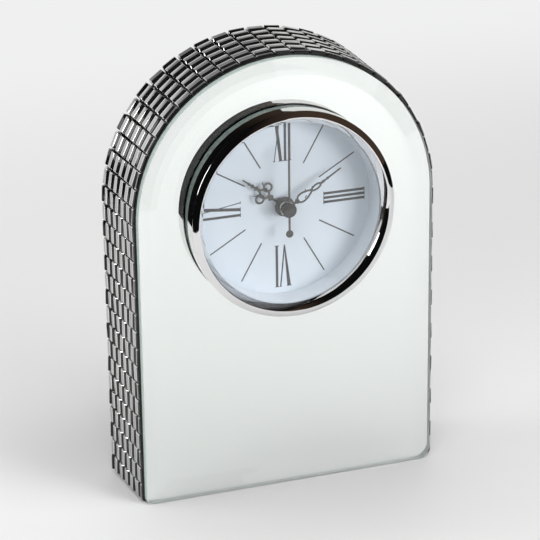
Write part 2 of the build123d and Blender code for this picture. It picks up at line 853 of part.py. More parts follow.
for name, shape in nodes.items():
    export_step(shape, f"parts/{name}.step")
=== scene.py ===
import json
import math
import bmesh
import bpy
import numpy as np
from mathutils import Matrix, Vector


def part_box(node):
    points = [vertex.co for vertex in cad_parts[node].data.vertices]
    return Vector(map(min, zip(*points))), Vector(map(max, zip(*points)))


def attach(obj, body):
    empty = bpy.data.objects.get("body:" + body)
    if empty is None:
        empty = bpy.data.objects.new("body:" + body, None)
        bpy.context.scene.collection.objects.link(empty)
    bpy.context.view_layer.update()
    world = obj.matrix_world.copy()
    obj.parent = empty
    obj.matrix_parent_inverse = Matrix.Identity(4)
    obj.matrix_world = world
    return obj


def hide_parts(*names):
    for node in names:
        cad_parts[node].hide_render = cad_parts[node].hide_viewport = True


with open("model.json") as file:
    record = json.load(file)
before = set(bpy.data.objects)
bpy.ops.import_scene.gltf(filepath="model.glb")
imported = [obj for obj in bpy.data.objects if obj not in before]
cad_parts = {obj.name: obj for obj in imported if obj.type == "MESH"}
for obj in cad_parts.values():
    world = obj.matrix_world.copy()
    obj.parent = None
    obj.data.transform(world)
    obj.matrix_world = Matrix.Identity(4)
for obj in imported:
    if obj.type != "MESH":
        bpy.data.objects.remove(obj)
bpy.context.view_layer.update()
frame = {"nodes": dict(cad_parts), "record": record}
scene = bpy.context.scene
print("frame loaded:", len(frame["nodes"]), "nodes")

mm = 0.001
jointPlaces = {joint["name"]: joint.get("pos_m") for joint in frame["record"]["behaviour"]["joints"]}
dialCentre = np.array(jointPlaces["minute_hand_turn"])  # on the dial's axis, in the front face of the plate


def span(node):
    # lowest and highest corner of a CAD node, in mm about dialCentre
    low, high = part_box(node)
    return (np.array(low) - dialCentre) / mm, (np.array(high) - dialCentre) / mm


# Mesh helpers. Pieces are worked out in mm as (x, depth, z) about dialCentre: depth runs back from the face.
weld = 1e-7  # metres within which doubled points are one


def gridFaces(rows, cols, wrapRows=False, wrapCols=False):
    # cell (i, j) of a rows x cols grid joins points i, i+1 and j, j+1, modulo the size where it wraps
    i = np.arange(rows if wrapRows else rows - 1)[:, None]
    j = np.arange(cols if wrapCols else cols - 1)[None, :]
    iNext, jNext = (i + 1) % rows, (j + 1) % cols
    corners = (i * cols + j, i * cols + jNext, iNext * cols + jNext, iNext * cols + j)
    return np.stack(np.broadcast_arrays(*corners), -1).reshape(-1, 4)


def makePiece(name, points, faces, materials, body, replaces=(), faceMaterial=None, sharpAngle=30.0,
              marks=None):
    # marks are values per point that the finish reads by name
    mesh = bpy.data.meshes.new(name)
    mesh.from_pydata((points.reshape(-1, 3) * mm + dialCentre).tolist(), [], [list(face) for face in faces])
    for material in materials:
        mesh.materials.append(material)
    if faceMaterial is not None:
        mesh.polygons.foreach_set("material_index", np.asarray(faceMaterial, dtype=np.int32))
    for mark, values in (marks or {}).items():
        layer = mesh.attributes.new(mark, "FLOAT", "POINT")
        layer.data.foreach_set("value", np.asarray(values, dtype=np.float32))
    shell = bmesh.new()
    shell.from_mesh(mesh)
    bmesh.ops.remove_doubles(shell, verts=shell.verts, dist=weld)
    bmesh.ops.recalc_face_normals(shell, faces=shell.faces)
    shell.to_mesh(mesh)
    shell.free()
    mesh.shade_smooth()
    mesh.set_sharp_from_angle(angle=math.radians(sharpAngle))
    piece = bpy.data.objects.new(name, mesh)
    scene.collection.objects.link(piece)
    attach(piece, body)
    if replaces:
        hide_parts(*replaces)
    return piece


def eased(corners, radii, steps=5):
    # each corner C becomes the curve (1-t)^2 A + 2t(1-t) C + t^2 B, with A and B one radius along its edges
    corner = np.asarray(corners, float)
    radius = np.broadcast_to(np.asarray(radii, float), len(corner))[:, None]
    before, after = np.roll(corner, 1, 0) - corner, np.roll(corner, -1, 0) - corner
    start = corner + radius * before / np.linalg.norm(before, axis=1, keepdims=True)
    end = corner + radius * after / np.linalg.norm(after, axis=1, keepdims=True)
    t = np.linspace(0, 1, steps)[None, :, None]
    curve = (1 - t) ** 2 * start[:, None] + 2 * t * (1 - t) * corner[:, None] + t ** 2 * end[:, None]
    return curve.reshape(-1, 2)


def lathe(profile, segments):
    # closed (radius, depth) profile turned about the dial's axis: x = r cos a, z = r sin a
    angle = np.linspace(0, 2 * np.pi, segments, endpoint=False)
    radius, depth = profile[:, :1], profile[:, 1:]
    ring = np.stack(np.broadcast_arrays(radius * np.cos(angle), depth, radius * np.sin(angle)), -1)
    return ring, gridFaces(len(profile), segments, True, True)


# Shader groups. Each puts out a value or colour that changes over the surface.
noiseSpan = (0.3, 0.7)  # part of the noise's range that is stretched to 0..1
noiseDetail = dict(tone=4.0, satin=6.0, grain=3.0)
grainHeight = 0.0002  # metres


def newGroup(name, inputs, outputs):
    group = bpy.data.node_groups.new(name, "ShaderNodeTree")
    for label, kind, value in inputs:
        group.interface.new_socket(label, in_out="INPUT", socket_type=kind).default_value = value
    for label, kind in outputs:
        group.interface.new_socket(label, in_out="OUTPUT", socket_type=kind)
    return group, group.nodes.new("NodeGroupInput"), group.nodes.new("NodeGroupOutput")


def noiseNode(group, source, detail):
    place = group.nodes.new("ShaderNodeTexCoord")
    noise = group.nodes.new("ShaderNodeTexNoise")
    noise.inputs["Detail"].default_value = detail
    group.links.new(place.outputs["Object"], noise.inputs["Vector"])
    group.links.new(source.outputs["Scale"], noise.inputs["Scale"])
    return noise


def spreadNode(group, noise):
    spread = group.nodes.new("ShaderNodeMapRange")
    spread.inputs["From Min"].default_value, spread.inputs["From Max"].default_value = noiseSpan
    group.links.new(noise.outputs["Fac"], spread.inputs["Value"])
    return spread


def buildToneDrift():
    group, source, sink = newGroup(
        "toneDrift",
        [("Light", "NodeSocketColor", (1, 1, 1, 1)), ("Dark", "NodeSocketColor", (0, 0, 0, 1)),
         ("Scale", "NodeSocketFloat", 50.0)],
        [("Color", "NodeSocketColor")])
    spread = spreadNode(group, noiseNode(group, source, noiseDetail["tone"]))
    mix = group.nodes.new("ShaderNodeMix")
    mix.data_type = "RGBA"
    group.links.new(spread.outputs["Result"], mix.inputs["Factor"])
    group.links.new(source.outputs["Dark"], mix.inputs["A"])
    group.links.new(source.outputs["Light"], mix.inputs["B"])
    group.links.new(mix.outputs["Result"], sink.inputs["Color"])
    return group


def buildSatinBreak():
    group, source, sink = newGroup(
        "satinBreak",
        [("Low", "NodeSocketFloat", 0.2), ("High", "NodeSocketFloat", 0.4),
         ("Scale", "NodeSocketFloat", 200.0)],
        [("Roughness", "NodeSocketFloat")])
    spread = spreadNode(group, noiseNode(group, source, noiseDetail["satin"]))
    group.links.new(source.outputs["Low"], spread.inputs["To Min"])
    group.links.new(source.outputs["High"], spread.inputs["To Max"])
    group.links.new(spread.outputs["Result"], sink.inputs["Roughness"])
    return group


def buildGrain():
    group, source, sink = newGroup("grain", [("Scale", "NodeSocketFloat", 1000.0)],
                                   [("Height", "NodeSocketFloat")])
    noise = noiseNode(group, source, noiseDetail["grain"])
    group.links.new(noise.outputs["Fac"], sink.inputs["Height"])
    return group


toneDrift = buildToneDrift()
satinBreak = buildSatinBreak()
grain = buildGrain()


def useGroup(tree, group, values):
    node = tree.nodes.new("ShaderNodeGroup")
    node.node_tree = group
    for label, value in values.items():
        node.inputs[label].default_value = value
    return node


def mathNode(tree, operation, first, second):
    node = tree.nodes.new("ShaderNodeMath")
    node.operation = operation
    for socket, source in zip(node.inputs, (first, second)):
        if isinstance(source, (int, float)):
            socket.default_value = source
        else:
            tree.links.new(source, socket)
    return node.outputs["Value"]


def rampNode(tree, source, low, high):
    # 0 at low, 1 at high, smooth between
    node = tree.nodes.new("ShaderNodeMapRange")
    node.interpolation_type = "SMOOTHSTEP"
    node.inputs["From Min"].default_value = low
    node.inputs["From Max"].default_value = high
    tree.links.new(source, node.inputs["Value"])
    return node.outputs["Result"]


def mixShaders(tree, share, first, second):
    node = tree.nodes.new("ShaderNodeMixShader")
    for socket, source in zip(node.inputs, (share, first, second)):
        tree.links.new(source, socket)
    return node.outputs["Shader"]


def mixColours(tree, share, first, second):
    node = tree.nodes.new("ShaderNodeMix")
    node.data_type = "RGBA"
    tree.links.new(share, node.inputs["Factor"])
    for label, source in (("A", first), ("B", second)):
        if isinstance(source, tuple):
            node.inputs[label].default_value = (*source, 1)
        else:
            tree.links.new(source, node.inputs[label])
    return node.outputs["Result"]


def finish(name, light, dark=None, toneScale=60.0, rough=(0.3, 0.4), roughScale=300.0, bump=0.0,
           bumpScale=1500.0, **fixed):
    # colour drifts between light and dark, or is even without dark; roughness drifts between its two values,
    # and fine grain lifts the surface
    material = bpy.data.materials.new(name)
    material.use_nodes = True
    tree = material.node_tree
    shader = tree.nodes["Principled BSDF"]
    if dark:
        tone = useGroup(tree, toneDrift, {"Light": (*light, 1), "Dark": (*dark, 1), "Scale": toneScale})
        tree.links.new(tone.outputs["Color"], shader.inputs["Base Color"])
    else:
        shader.inputs["Base Color"].default_value = (*light, 1)
    satin = useGroup(tree, satinBreak, {"Low": rough[0], "High": rough[1], "Scale": roughScale})
    tree.links.new(satin.outputs["Roughness"], shader.inputs["Roughness"])
    if bump:
        height = useGroup(tree, grain, {"Scale": bumpScale})
        lift = tree.nodes.new("ShaderNodeBump")
        lift.inputs["Strength"].default_value = bump
        lift.inputs["Distance"].default_value = grainHeight
        tree.links.new(height.outputs["Height"], lift.inputs["Height"])
        tree.links.new(lift.outputs["Normal"], shader.inputs["Normal"])
    for label, value in fixed.items():
        shader.inputs[label.replace("_", " ")].default_value = value
    return material


finishSettings = {
    "plateGlass": dict(light=(0.965, 0.99, 0.98), dark=(0.955, 0.985, 0.972), toneScale=8,
                       rough=(0.0, 0.004), roughScale=30, Transmission_Weight=1.0, IOR=1.52),
    "groundEdge": dict(light=(0.56, 0.64, 0.61), dark=(0.4, 0.48, 0.45), toneScale=900, rough=(0.3, 0.5),
                       roughScale=1200, bump=0.3, bumpScale=1400),
    "holeEdge": dict(light=(0.72, 0.82, 0.785), dark=(0.24, 0.32, 0.29), toneScale=700, rough=(0.2, 0.5),
                     roughScale=1200, bump=0.6, bumpScale=1200),
    "silvering": dict(light=(0.95, 0.965, 0.955), dark=(0.94, 0.955, 0.945), toneScale=12,
                      rough=(0.0, 0.006), roughScale=30, Metallic=1.0),
    "chipFace": dict(light=(0.6, 0.6, 0.595), dark=(0.5, 0.5, 0.5), toneScale=120, rough=(0.1, 0.22),
                     roughScale=400, Metallic=1.0),
    "chipArris": dict(light=(0.9, 0.9, 0.895), dark=(0.8, 0.8, 0.8), toneScale=120, rough=(0.08, 0.16),
                      roughScale=400, Metallic=1.0),
    "chipEdge": dict(light=(0.012, 0.012, 0.012), dark=(0.005, 0.005, 0.005), toneScale=300,
                     rough=(0.05, 0.14), roughScale=500, Specular_IOR_Level=0.35),
    "chrome": dict(light=(0.83, 0.83, 0.835), dark=(0.79, 0.79, 0.795), toneScale=40, rough=(0.02, 0.05),
                   roughScale=400, Metallic=1.0),
    "insertWhite": dict(light=(0.74, 0.79, 0.84), dark=(0.7, 0.75, 0.8), toneScale=80, rough=(0.35, 0.5),
                        bump=0.08, bumpScale=2500),
    "dialCard": dict(light=(0.72, 0.785, 0.85), dark=(0.69, 0.76, 0.83), toneScale=25, rough=(0.55, 0.7),
                     bump=0.06, bumpScale=6000),
    "dialInk": dict(light=(0.08, 0.08, 0.084), dark=(0.055, 0.055, 0.058), toneScale=700,
                    rough=(0.45, 0.6)),
    "gunmetal": dict(light=(0.115, 0.113, 0.105), dark=(0.085, 0.083, 0.078), toneScale=500,
                     rough=(0.28, 0.4), roughScale=900, Metallic=0.5),
    "casePaint": dict(light=(0.022, 0.022, 0.024), dark=(0.012, 0.012, 0.013), toneScale=150,
                      rough=(0.45, 0.6), bump=0.2, bumpScale=1600),
    "backFlock": dict(light=(0.03, 0.03, 0.033), dark=(0.01, 0.01, 0.011), toneScale=1800,
                      rough=(0.8, 0.95), bump=0.5, bumpScale=4000, Sheen_Weight=0.25),
    "feltBlack": dict(light=(0.035, 0.035, 0.036), dark=(0.012, 0.012, 0.012), toneScale=2200,
                      rough=(0.85, 0.95), bump=0.7, bumpScale=3000, Sheen_Weight=0.3),
    "housingBlack": dict(light=(0.028, 0.028, 0.03), dark=(0.018, 0.018, 0.019), toneScale=400,
                         rough=(0.4, 0.55), roughScale=900, bump=0.25, bumpScale=3500),
    "gearWhite": dict(light=(0.8, 0.8, 0.76), dark=(0.74, 0.74, 0.69), toneScale=200, rough=(0.35, 0.45),
                      bump=0.05),
    "nutBlack": dict(light=(0.13, 0.115, 0.095), dark=(0.08, 0.07, 0.055), toneScale=600, rough=(0.25, 0.4),
                     Metallic=1.0),
    "bossSteel": dict(light=(0.62, 0.64, 0.64), dark=(0.52, 0.54, 0.54), toneScale=700, rough=(0.18, 0.3),
                      roughScale=900, Metallic=1.0),
    "capBlack": dict(light=(0.06, 0.058, 0.054), dark=(0.042, 0.04, 0.038), toneScale=500,
                     rough=(0.08, 0.16), roughScale=900, Metallic=0.3),
    "iron": dict(light=(0.46, 0.46, 0.47), dark=(0.36, 0.36, 0.37), toneScale=700, rough=(0.35, 0.5),
                 Metallic=1.0),
    "magnet": dict(light=(0.17, 0.17, 0.18), dark=(0.1, 0.1, 0.11), toneScale=1500, rough=(0.5, 0.65),
                   bump=0.3, Metallic=0.6),
    "copperWire": dict(light=(0.64, 0.3, 0.13), dark=(0.45, 0.18, 0.07), toneScale=900, rough=(0.25, 0.4),
                       Metallic=1.0),
    "boardGreen": dict(light=(0.05, 0.22, 0.1), dark=(0.03, 0.15, 0.06), toneScale=500, rough=(0.35, 0.5)),
    "resinBlack": dict(light=(0.022, 0.022, 0.022), dark=(0.012, 0.012, 0.012), toneScale=400,
                       rough=(0.2, 0.35)),
    "canSteel": dict(light=(0.7, 0.7, 0.7), dark=(0.6, 0.6, 0.61), toneScale=500, rough=(0.2, 0.3),
                     Metallic=1.0),
    "contactSteel": dict(light=(0.72, 0.72, 0.7), dark=(0.6, 0.6, 0.58), toneScale=400, rough=(0.22, 0.35),
                         Metallic=1.0),
    "cellJacket": dict(light=(0.17, 0.18, 0.2), dark=(0.13, 0.14, 0.155), toneScale=150,
                       rough=(0.25, 0.35)),
    "lensGlass": dict(light=(1.0, 1.0, 1.0), dark=(0.985, 0.995, 1.0), toneScale=20, rough=(0.0, 0.004),
                      roughScale=40, Transmission_Weight=1.0, IOR=1.45),
}
finishes = {name: finish(name, **values) for name, values in finishSettings.items()}


def letLight(material):
    # lamp light goes straight through to what lies behind the glass
    tree = material.node_tree
    shadowRay = tree.nodes.new("ShaderNodeLightPath").outputs["Is Shadow Ray"]
    passThrough = tree.nodes.new("ShaderNodeBsdfTransparent").outputs["BSDF"]
    glass = mixShaders(tree, shadowRay, tree.nodes["Principled BSDF"].outputs["BSDF"], passThrough)
    tree.links.new(glass, tree.nodes["Material Output"].inputs["Surface"])


def paintedInsideLight(material, tone):
    # painted light: the ground edge is given a paler colour where it is seen from inside the plate, standing
    # in for light that reaches it through the glass
    tree = material.node_tree
    inside = tree.nodes.new("ShaderNodeNewGeometry").outputs["Backfacing"]
    colour = tree.nodes["Principled BSDF"].inputs["Base Color"]
    tree.links.new(mixColours(tree, inside, colour.links[0].from_socket, tone), colour)


def markChips(material, dark, line, highlightSpan):
    # every chip has its own tone, and a painted highlight, a lighter line, runs along its long edges
    tree = material.node_tree
    marks = {}
    for name in ("tone", "across"):
        node = tree.nodes.new("ShaderNodeAttribute")
        node.attribute_name = name
        marks[name] = node.outputs["Fac"]
    colour = tree.nodes["Principled BSDF"].inputs["Base Color"]
    toned = mixColours(tree, marks["tone"], colour.links[0].from_socket, dark)
    # painted highlight: the face colour turns lighter towards the chip's long edges
    edgeHighlight = rampNode(tree, mathNode(tree, "ABSOLUTE", marks["across"], 0.0), *highlightSpan)
    tree.links.new(mixColours(tree, edgeHighlight, toned, line), colour)


letLight(finishes["lensGlass"])
letLight(finishes["plateGlass"])
# painted light: a paler tone on the inner side of the ground edge
paintedInsideLight(finishes["groundEdge"], tone=(0.70, 0.74, 0.725))
# painted highlight: the line colour lightens the chip faces along their long edges
markChips(finishes["chipFace"], dark=(0.44, 0.44, 0.44), line=(0.70, 0.70, 0.695), highlightSpan=(0.55, 0.9))

finishNodes = {
    "casePaint": ("case_rim", "front_board"), "backFlock": ("back_panel",), "feltBlack": ("base_felt",),
    "plateGlass": ("mirror_plate",), "chipFace": ("tiles_left", "tiles_arch", "tiles_right"),
    "chrome": ("bezel",), "lensGlass": ("lens",), "dialCard": ("dial",), "insertWhite": ("insert_body",),
    "housingBlack": ("movement_case", "movement_cover", "setting_knob"),
    "nutBlack": ("shaft_bushing", "fixing_nut"), "gunmetal": ("hour_hand", "minute_hand", "second_hand"),
    "gearWhite": ("hour_wheel", "centre_wheel", "second_wheel", "third_wheel", "intermediate_wheel",
                  "minute_wheel", "coil_bobbin"),
    "magnet": ("rotor",), "iron": ("stator", "coil_core"), "copperWire": ("coil_winding",),
    "boardGreen": ("circuit_board",), "canSteel": ("quartz_crystal",), "resinBlack": ("chip_cap",),
    "cellJacket": ("battery",), "contactSteel": ("positive_contact", "negative_contact"),
}
for finishName, nodeNames in finishNodes.items():
    for nodeName in nodeNames:
        nodeMesh = frame["nodes"][nodeName].data
        nodeMesh.materials.clear()
        nodeMesh.materials.append(finishes[finishName])
print("finishes:", len(finishes))

# Mirror plate: bevelled glass over a sheet of silvering
plateLow, plateHigh = span("mirror_plate")
plate = dict(halfWidth=plateHigh[0], foot=plateLow[2], thickness=plateHigh[1], rightCorner=5.6,
             leftCorner=1.8, bevelWidth=7.5, bevelDepth=1.3, cornerFlat=2.2, holeRadius=46.0,
             edgePoints=40, cornerPoints=5, archPoints=72, silverInset=0.03, silverFront=0.07,
             silverBack=0.03)


def halfLoop(rightParts, leftParts):
    # a half outline from the foot's middle to the crown, then the other half's mirror image back down
    right, left = np.concatenate(rightParts), np.concatenate(leftParts)
    return np.concatenate([right, left[-2:0:-1] * (-1, 1)])


def line(start, end, count):
    # even points from start on, without the end
    return np.linspace(start, end, count, endpoint=False)


def arc(centre, radius, first, last, count, endpoint=False):
    # centre + radius (cos a, sin a), with a in degrees
    angle = np.radians(np.linspace(first, last, count, endpoint=endpoint))
    return np.asarray(centre) + radius * np.stack([np.cos(angle), np.sin(angle)], -1)


def plateLoops(p):
    # outer edge and inner bevel line, point for point: foot, corner in three parts, side, arch
    half, foot, flat = p["halfWidth"], p["foot"], p["cornerFlat"]
    inHalf, inFoot = half - p["bevelWidth"], foot + p["bevelWidth"]
    edge, corner, crown = p["edgePoints"], p["cornerPoints"], p["archPoints"]

    def outerHalf(radius):
        hub = (half - radius, foot + radius)
        return [line((0, foot), (hub[0], foot), edge), arc(hub, radius, -90, -60, corner),
                arc(hub, radius, -60, -30, corner), arc(hub, radius, -30, 0, corner),
                line((half, hub[1]), (half, 0), edge), arc((0, 0), half, 0, 90, crown, True)]

    def innerHalf(radius):
        run, rise = inHalf - flat - radius / 2, inFoot + flat + radius / 2
        return [line((0, inFoot), (run, inFoot), edge), line((run, inFoot), (inHalf - flat, inFoot), corner),
                line((inHalf - flat, inFoot), (inHalf, inFoot + flat), corner),
                line((inHalf, inFoot + flat), (inHalf, rise), corner),
                line((inHalf, rise), (inHalf, 0), edge), arc((0, 0), inHalf, 0, 90, crown, True)]

    outer = halfLoop(outerHalf(p["rightCorner"]), outerHalf(p["leftCorner"]))
    return outer, halfLoop(innerHalf(p["rightCorner"]), innerHalf(p["leftCorner"]))


def level(loop, depth):
    # (x, z) points laid at a depth
    return np.stack(np.broadcast_arrays(loop[:, 0], depth, loop[:, 1]), -1)


def buildPlate(p):
    # a bevel plane sinks its depth over its width; the edge lies in the lowest of foot, corner and side
    outer, inner = plateLoops(p)
    fromSide = p["halfWidth"] - np.abs(outer[:, 0])
    fromFoot = outer[:, 1] - p["foot"]
    width = p["bevelWidth"]
    onFoot = 1 - fromFoot / width
    onFlat = 1 + (p["cornerFlat"] / 2 - (fromSide + fromFoot) / 2) / width
    onSide = np.where(outer[:, 1] > 0, 1.0, 1 - fromSide / width)
    groundDepth = p["bevelDepth"] * np.maximum(np.maximum(onFoot, onSide), onFlat)
    hole = p["holeRadius"] * inner / np.linalg.norm(inner, axis=1, keepdims=True)
    loops = [level(outer, p["thickness"]), level(outer, groundDepth), level(inner, 0.0), level(hole, 0.0),
             level(hole, p["thickness"])]
    faces = gridFaces(len(loops), len(outer), True, True)
    band = np.repeat([1, 0, 0, 2, 0], len(outer))  # ground edge, bevel, front, ground hole, back
    makePiece("plate_glass", np.stack(loops), faces,
              [finishes["plateGlass"], finishes["groundEdge"], finishes["holeEdge"]], "case",
              ["mirror_plate"], faceMaterial=band, sharpAngle=5.0)
    inset, front, back = p["silverInset"], p["thickness"] - p["silverFront"], p["thickness"] - p["silverBack"]
    sheet = outer * (p["halfWidth"] - inset) / p["halfWidth"]
    rim = hole * (p["holeRadius"] + inset) / p["holeRadius"]
    loops = [level(sheet, front), level(sheet, back), level(rim, back), level(rim, front)]
    faces = gridFaces(len(loops), len(outer), True, True)
    makePiece("plate_silvering", np.stack(loops), faces, [finishes["silvering"]], "case")


buildPlate(plate)
print("plate done")

# Mosaic: bevelled silver chips in running bond round the rim
rimLow, rimHigh = span("case_rim")
mosaic = dict(rimHalf=rimHigh[0], bed=0.05, foot=plateLow[2], caseFront=rimLow[1],
              caseDepth=rimHigh[1] - rimLow[1], courses=6, gap=0.4, sideRows=16, archRows=27, seed=11,
              tilt=0.018, shift=0.06)
chip = dict(heights=(0.0, 1.85, 2.70, 2.80), sideInsets=(0.0, 0.08, 1.40, 1.70),
            endInsets=(0.0, 0.05, 0.32, 0.50), cornerRadii=(0.55, 0.55, 0.50, 0.45), frontHeight=1.0,
            leftDrop=0.4, rightRise=1.2, backHeight=3.5, frontCut=0.45)
ringSteps = 12  # points round a chip, three at each corner
darkEdges = (0, 4, 5, 6, 10, 11)  # steps round a ring that lie on the long edges


def chipRings(halfWide, halfLong):
    # stacked rounded rectangles: foot, shoulder of the bevel, polished arris, edge of the flat face
    side = np.array([(1, 1), (-1, 1), (-1, -1), (1, -1)])
    turn = np.arange(4)[:, None] * np.pi / 2 + np.radians([0.0, 45.0, 90.0])[None, :]
    radius = np.array(chip["cornerRadii"])[:, None, None]
    wide = halfWide - np.array(chip["sideInsets"])[:, None, None] - radius
    tall = halfLong - np.array(chip["endInsets"])[:, None, None] - radius
    height = np.array(chip["heights"])[:, None, None]
    ring = np.stack(np.broadcast_arrays(side[:, :1] * wide + radius * np.cos(turn),
                                        side[:, 1:] * tall + radius * np.sin(turn), height), -1)
    return ring.reshape(len(height), ringSteps, 3)


def chipSeats(m):
    # one row per chip: foot (x, depth, z), outward direction (x, z), half width, 1 for a cut front chip
    sideLength = -m["foot"]
    coursePitch = m["caseDepth"] / m["courses"]
    sidePitch, archStep = sideLength / m["sideRows"], 180.0 / m["archRows"]
    reach = m["rimHalf"] + m["bed"]
    length = min(sidePitch, 2 * reach * math.sin(math.radians(archStep / 2))) - m["gap"]
    whole, cut = coursePitch / 2 - m["gap"] / 2, coursePitch / 4 - m["gap"] / 2
    fullRow = np.array([((course + 0.5) * coursePitch, whole, 0) for course in range(m["courses"])])
    brokenRow = np.array([(course * coursePitch, whole, 0) for course in range(1, m["courses"])]
                         + [(coursePitch / 4, cut, 1), (m["caseDepth"] - coursePitch / 4, cut, 0)])

    def rowsOf(feet, ups, firstRow):
        seats = []
        for index, (foot, up) in enumerate(zip(feet, ups)):
            row = fullRow if (firstRow + index) % 2 else brokenRow
            spread = np.ones((len(row), 1))
            seats.append(np.concatenate([spread * foot[0], m["caseFront"] + row[:, :1], spread * foot[1],
                                         spread * up, row[:, 1:]], 1))
        return np.concatenate(seats)

    heights = m["foot"] + (np.arange(m["sideRows"]) + 0.5) * sidePitch
    angle = np.radians(180 - (np.arange(m["archRows"]) + 0.5) * archStep)
    archUp = np.stack([np.cos(angle), np.sin(angle)], -1)
    walls = {}
    for name, side in (("left", -1.0), ("right", 1.0)):
        feet = np.stack([np.full(len(heights), side * reach), heights], -1)
        walls[name] = rowsOf(feet, np.tile((side, 0.0), (len(heights), 1)), 0)
    walls["arch"] = rowsOf(archUp * reach, archUp, m["sideRows"])
    return walls, length / 2


def chipLift(depth, x, cutFront, m):
    # the mosaic rises from the plate's edge to the back, its front higher on the right; cut chips dip there
    front = chip["frontHeight"] + np.where(x < 0, chip["leftDrop"], chip["rightRise"]) * x / m["rimHalf"]
    height = front + (chip["backHeight"] - front) * depth / m["caseDepth"]
    dip = 1 - chip["frontCut"] * cutFront * np.clip(1 - 2 * depth * m["courses"] / m["caseDepth"], 0, 1)
    return height * dip / chip["heights"][-1]


def buildMosaic(m):
    # a chip's ring points are foot + u depthAxis + v wallAxis + rise outward, each chip tilted a little
    walls, halfLong = chipSeats(m)
    draw = np.random.default_rng(m["seed"])
    longEdge = np.isin(np.arange(ringSteps), darkEdges)
    edgeBands = np.concatenate([np.ones(ringSteps), longEdge, np.full(ringSteps, 2)])  # side, bevel, arris
    flatInset = chip["sideInsets"][-1]
    for name, seats in walls.items():
        count = len(seats)
        rings = np.stack([chipRings(half, halfLong) for half in seats[:, 5]])
        ringCount, ringPoints = rings.shape[1], rings.shape[2]
        tilt = draw.normal(0, m["tilt"], (count, 2))
        shift = draw.uniform(-m["shift"], m["shift"], (count, 2))
        outward = np.stack([seats[:, 3], np.zeros(count), seats[:, 4]], -1)
        alongDepth = np.tile((0.0, 1.0, 0.0), (count, 1))
        alongWall = np.cross(outward, alongDepth)
        tilted = outward + tilt[:, :1] * alongDepth + tilt[:, 1:] * alongWall
        depthAxis = alongDepth - tilt[:, :1] * outward
        wallAxis = alongWall - tilt[:, 1:] * outward
        local = rings.reshape(count, -1, 3)
        depth = seats[:, 1:2] - m["caseFront"] + local[..., 0]
        rise = local[..., 2] * chipLift(depth, seats[:, :1], seats[:, 6:], m)
        foot = seats[:, :3] + shift[:, :1] * alongDepth + shift[:, 1:] * alongWall
        points = (foot[:, None] + local[..., :1] * depthAxis[:, None] + local[..., 1:2] * wallAxis[:, None]
                  + rise[..., None] * tilted[:, None])
        sides = gridFaces(ringCount, ringPoints, False, True)
        caps = np.stack([np.arange(ringPoints), np.arange(ringPoints) + (ringCount - 1) * ringPoints])
        offsets = np.arange(count)[:, None, None] * ringCount * ringPoints
        faces = (sides[None] + offsets).reshape(-1, 4).tolist()
        faces += (caps[None] + offsets).reshape(-1, ringPoints).tolist()
        band = np.concatenate([np.tile(edgeBands, count), np.tile((1, 0), count)])
        marks = {"tone": np.repeat(draw.uniform(0, 1, count), ringCount * ringPoints),
                 "across": (local[..., 0] / (seats[:, 5:6] - flatInset)).reshape(-1)}
        makePiece("mosaic_" + name, points, faces,
                  [finishes["chipFace"], finishes["chipEdge"], finishes["chipArris"]], "case",
                  ["tiles_" + name], faceMaterial=band, sharpAngle=20.0, marks=marks)


buildMosaic(mosaic)
print("mosaic done")

# Bezel, and the white ring between lens and dial
(bezelLow, bezelHigh), (lensLow, lensHigh), (dialLow, dialHigh) = span("bezel"), span("lens"), span("dial")
bezel = dict(bore=44.1, radius=bezelHigh[0], wall=6.6, crest=43.9, proud=-bezelLow[1], lip=41.4,
             lensFront=lensLow[1], bulge=(0.15, 0.28), crestOver=0.1,
             easing=(0.1, 0.15, 0.3, 1.2, 0.5, 0.15, 0.1), easeSteps=7, segments=256)
insertRing = dict(window=41.0, outer=dialHigh[0], front=lensHigh[1], back=dialLow[1],
                  easing=(0.3, 0.2, 0.2, 0.1), segments=192)


def buildBezel(b):
    # lathe profile: wall, bulged shoulder, crest, then the funnel that slopes in to the lens
    out, forward = b["bulge"]
    middle = ((b["radius"] + b["crest"]) / 2 + out, -(b["wall"] + b["proud"]) / 2 - forward)
    profile = eased([(b["bore"], 0), (b["radius"], 0), (b["radius"], -b["wall"]), middle,
                     (b["crest"], -b["proud"] - b["crestOver"]), (b["lip"], b["lensFront"]),
                     (b["bore"], b["lensFront"])], b["easing"], b["easeSteps"])
    points, faces = lathe(profile, b["segments"])
    makePiece("bezel_ring", points, faces, [finishes["chrome"]], "case", ["bezel"],
              sharpAngle=25.0)


def buildInsertRing(r):
    # lathe profile: a rectangle with eased corners
    profile = eased([(r["window"], r["front"]), (r["outer"], r["front"]), (r["outer"], r["back"]),
                     (r["window"], r["back"])], r["easing"])
    points, faces = lathe(profile, r["segments"])
    makePiece("dial_surround", points, faces, [finishes["insertWhite"]], "case",
              ["insert_body"])


buildBezel(bezel)
buildInsertRing(insertRing)
print("bezel done")

# Dial print: hour lines and roman numerals, base towards the centre
dialPrint = dict(cardFront=dialLow[1], inkDepth=0.02, lift=0.01, stagger=0.004, layers=5, sink=0.002,
                 shift=(-0.35, 0.9), lineInner=20.0, lineOuter=39.2, lineWidth=0.6, inner=19.4, outer=39.0,
                 barWidth=1.15, thinWidth=0.42, serif=0.35, serifOver=0.35, crossExtra=0.25, veeExtra=0.55,
                 veeFoot=0.35, veeThin=0.2)


def stroke(start, end, width, startWidth=None):
    # quad with ends square to the reach: corners (side, reach)
    half, first = width / 2, (startWidth or width) / 2
    return [(start[0] - first, start[1]), (start[0] + first, start[1]), (end[0] + half, end[1]),
            (end[0] - half, end[1])]


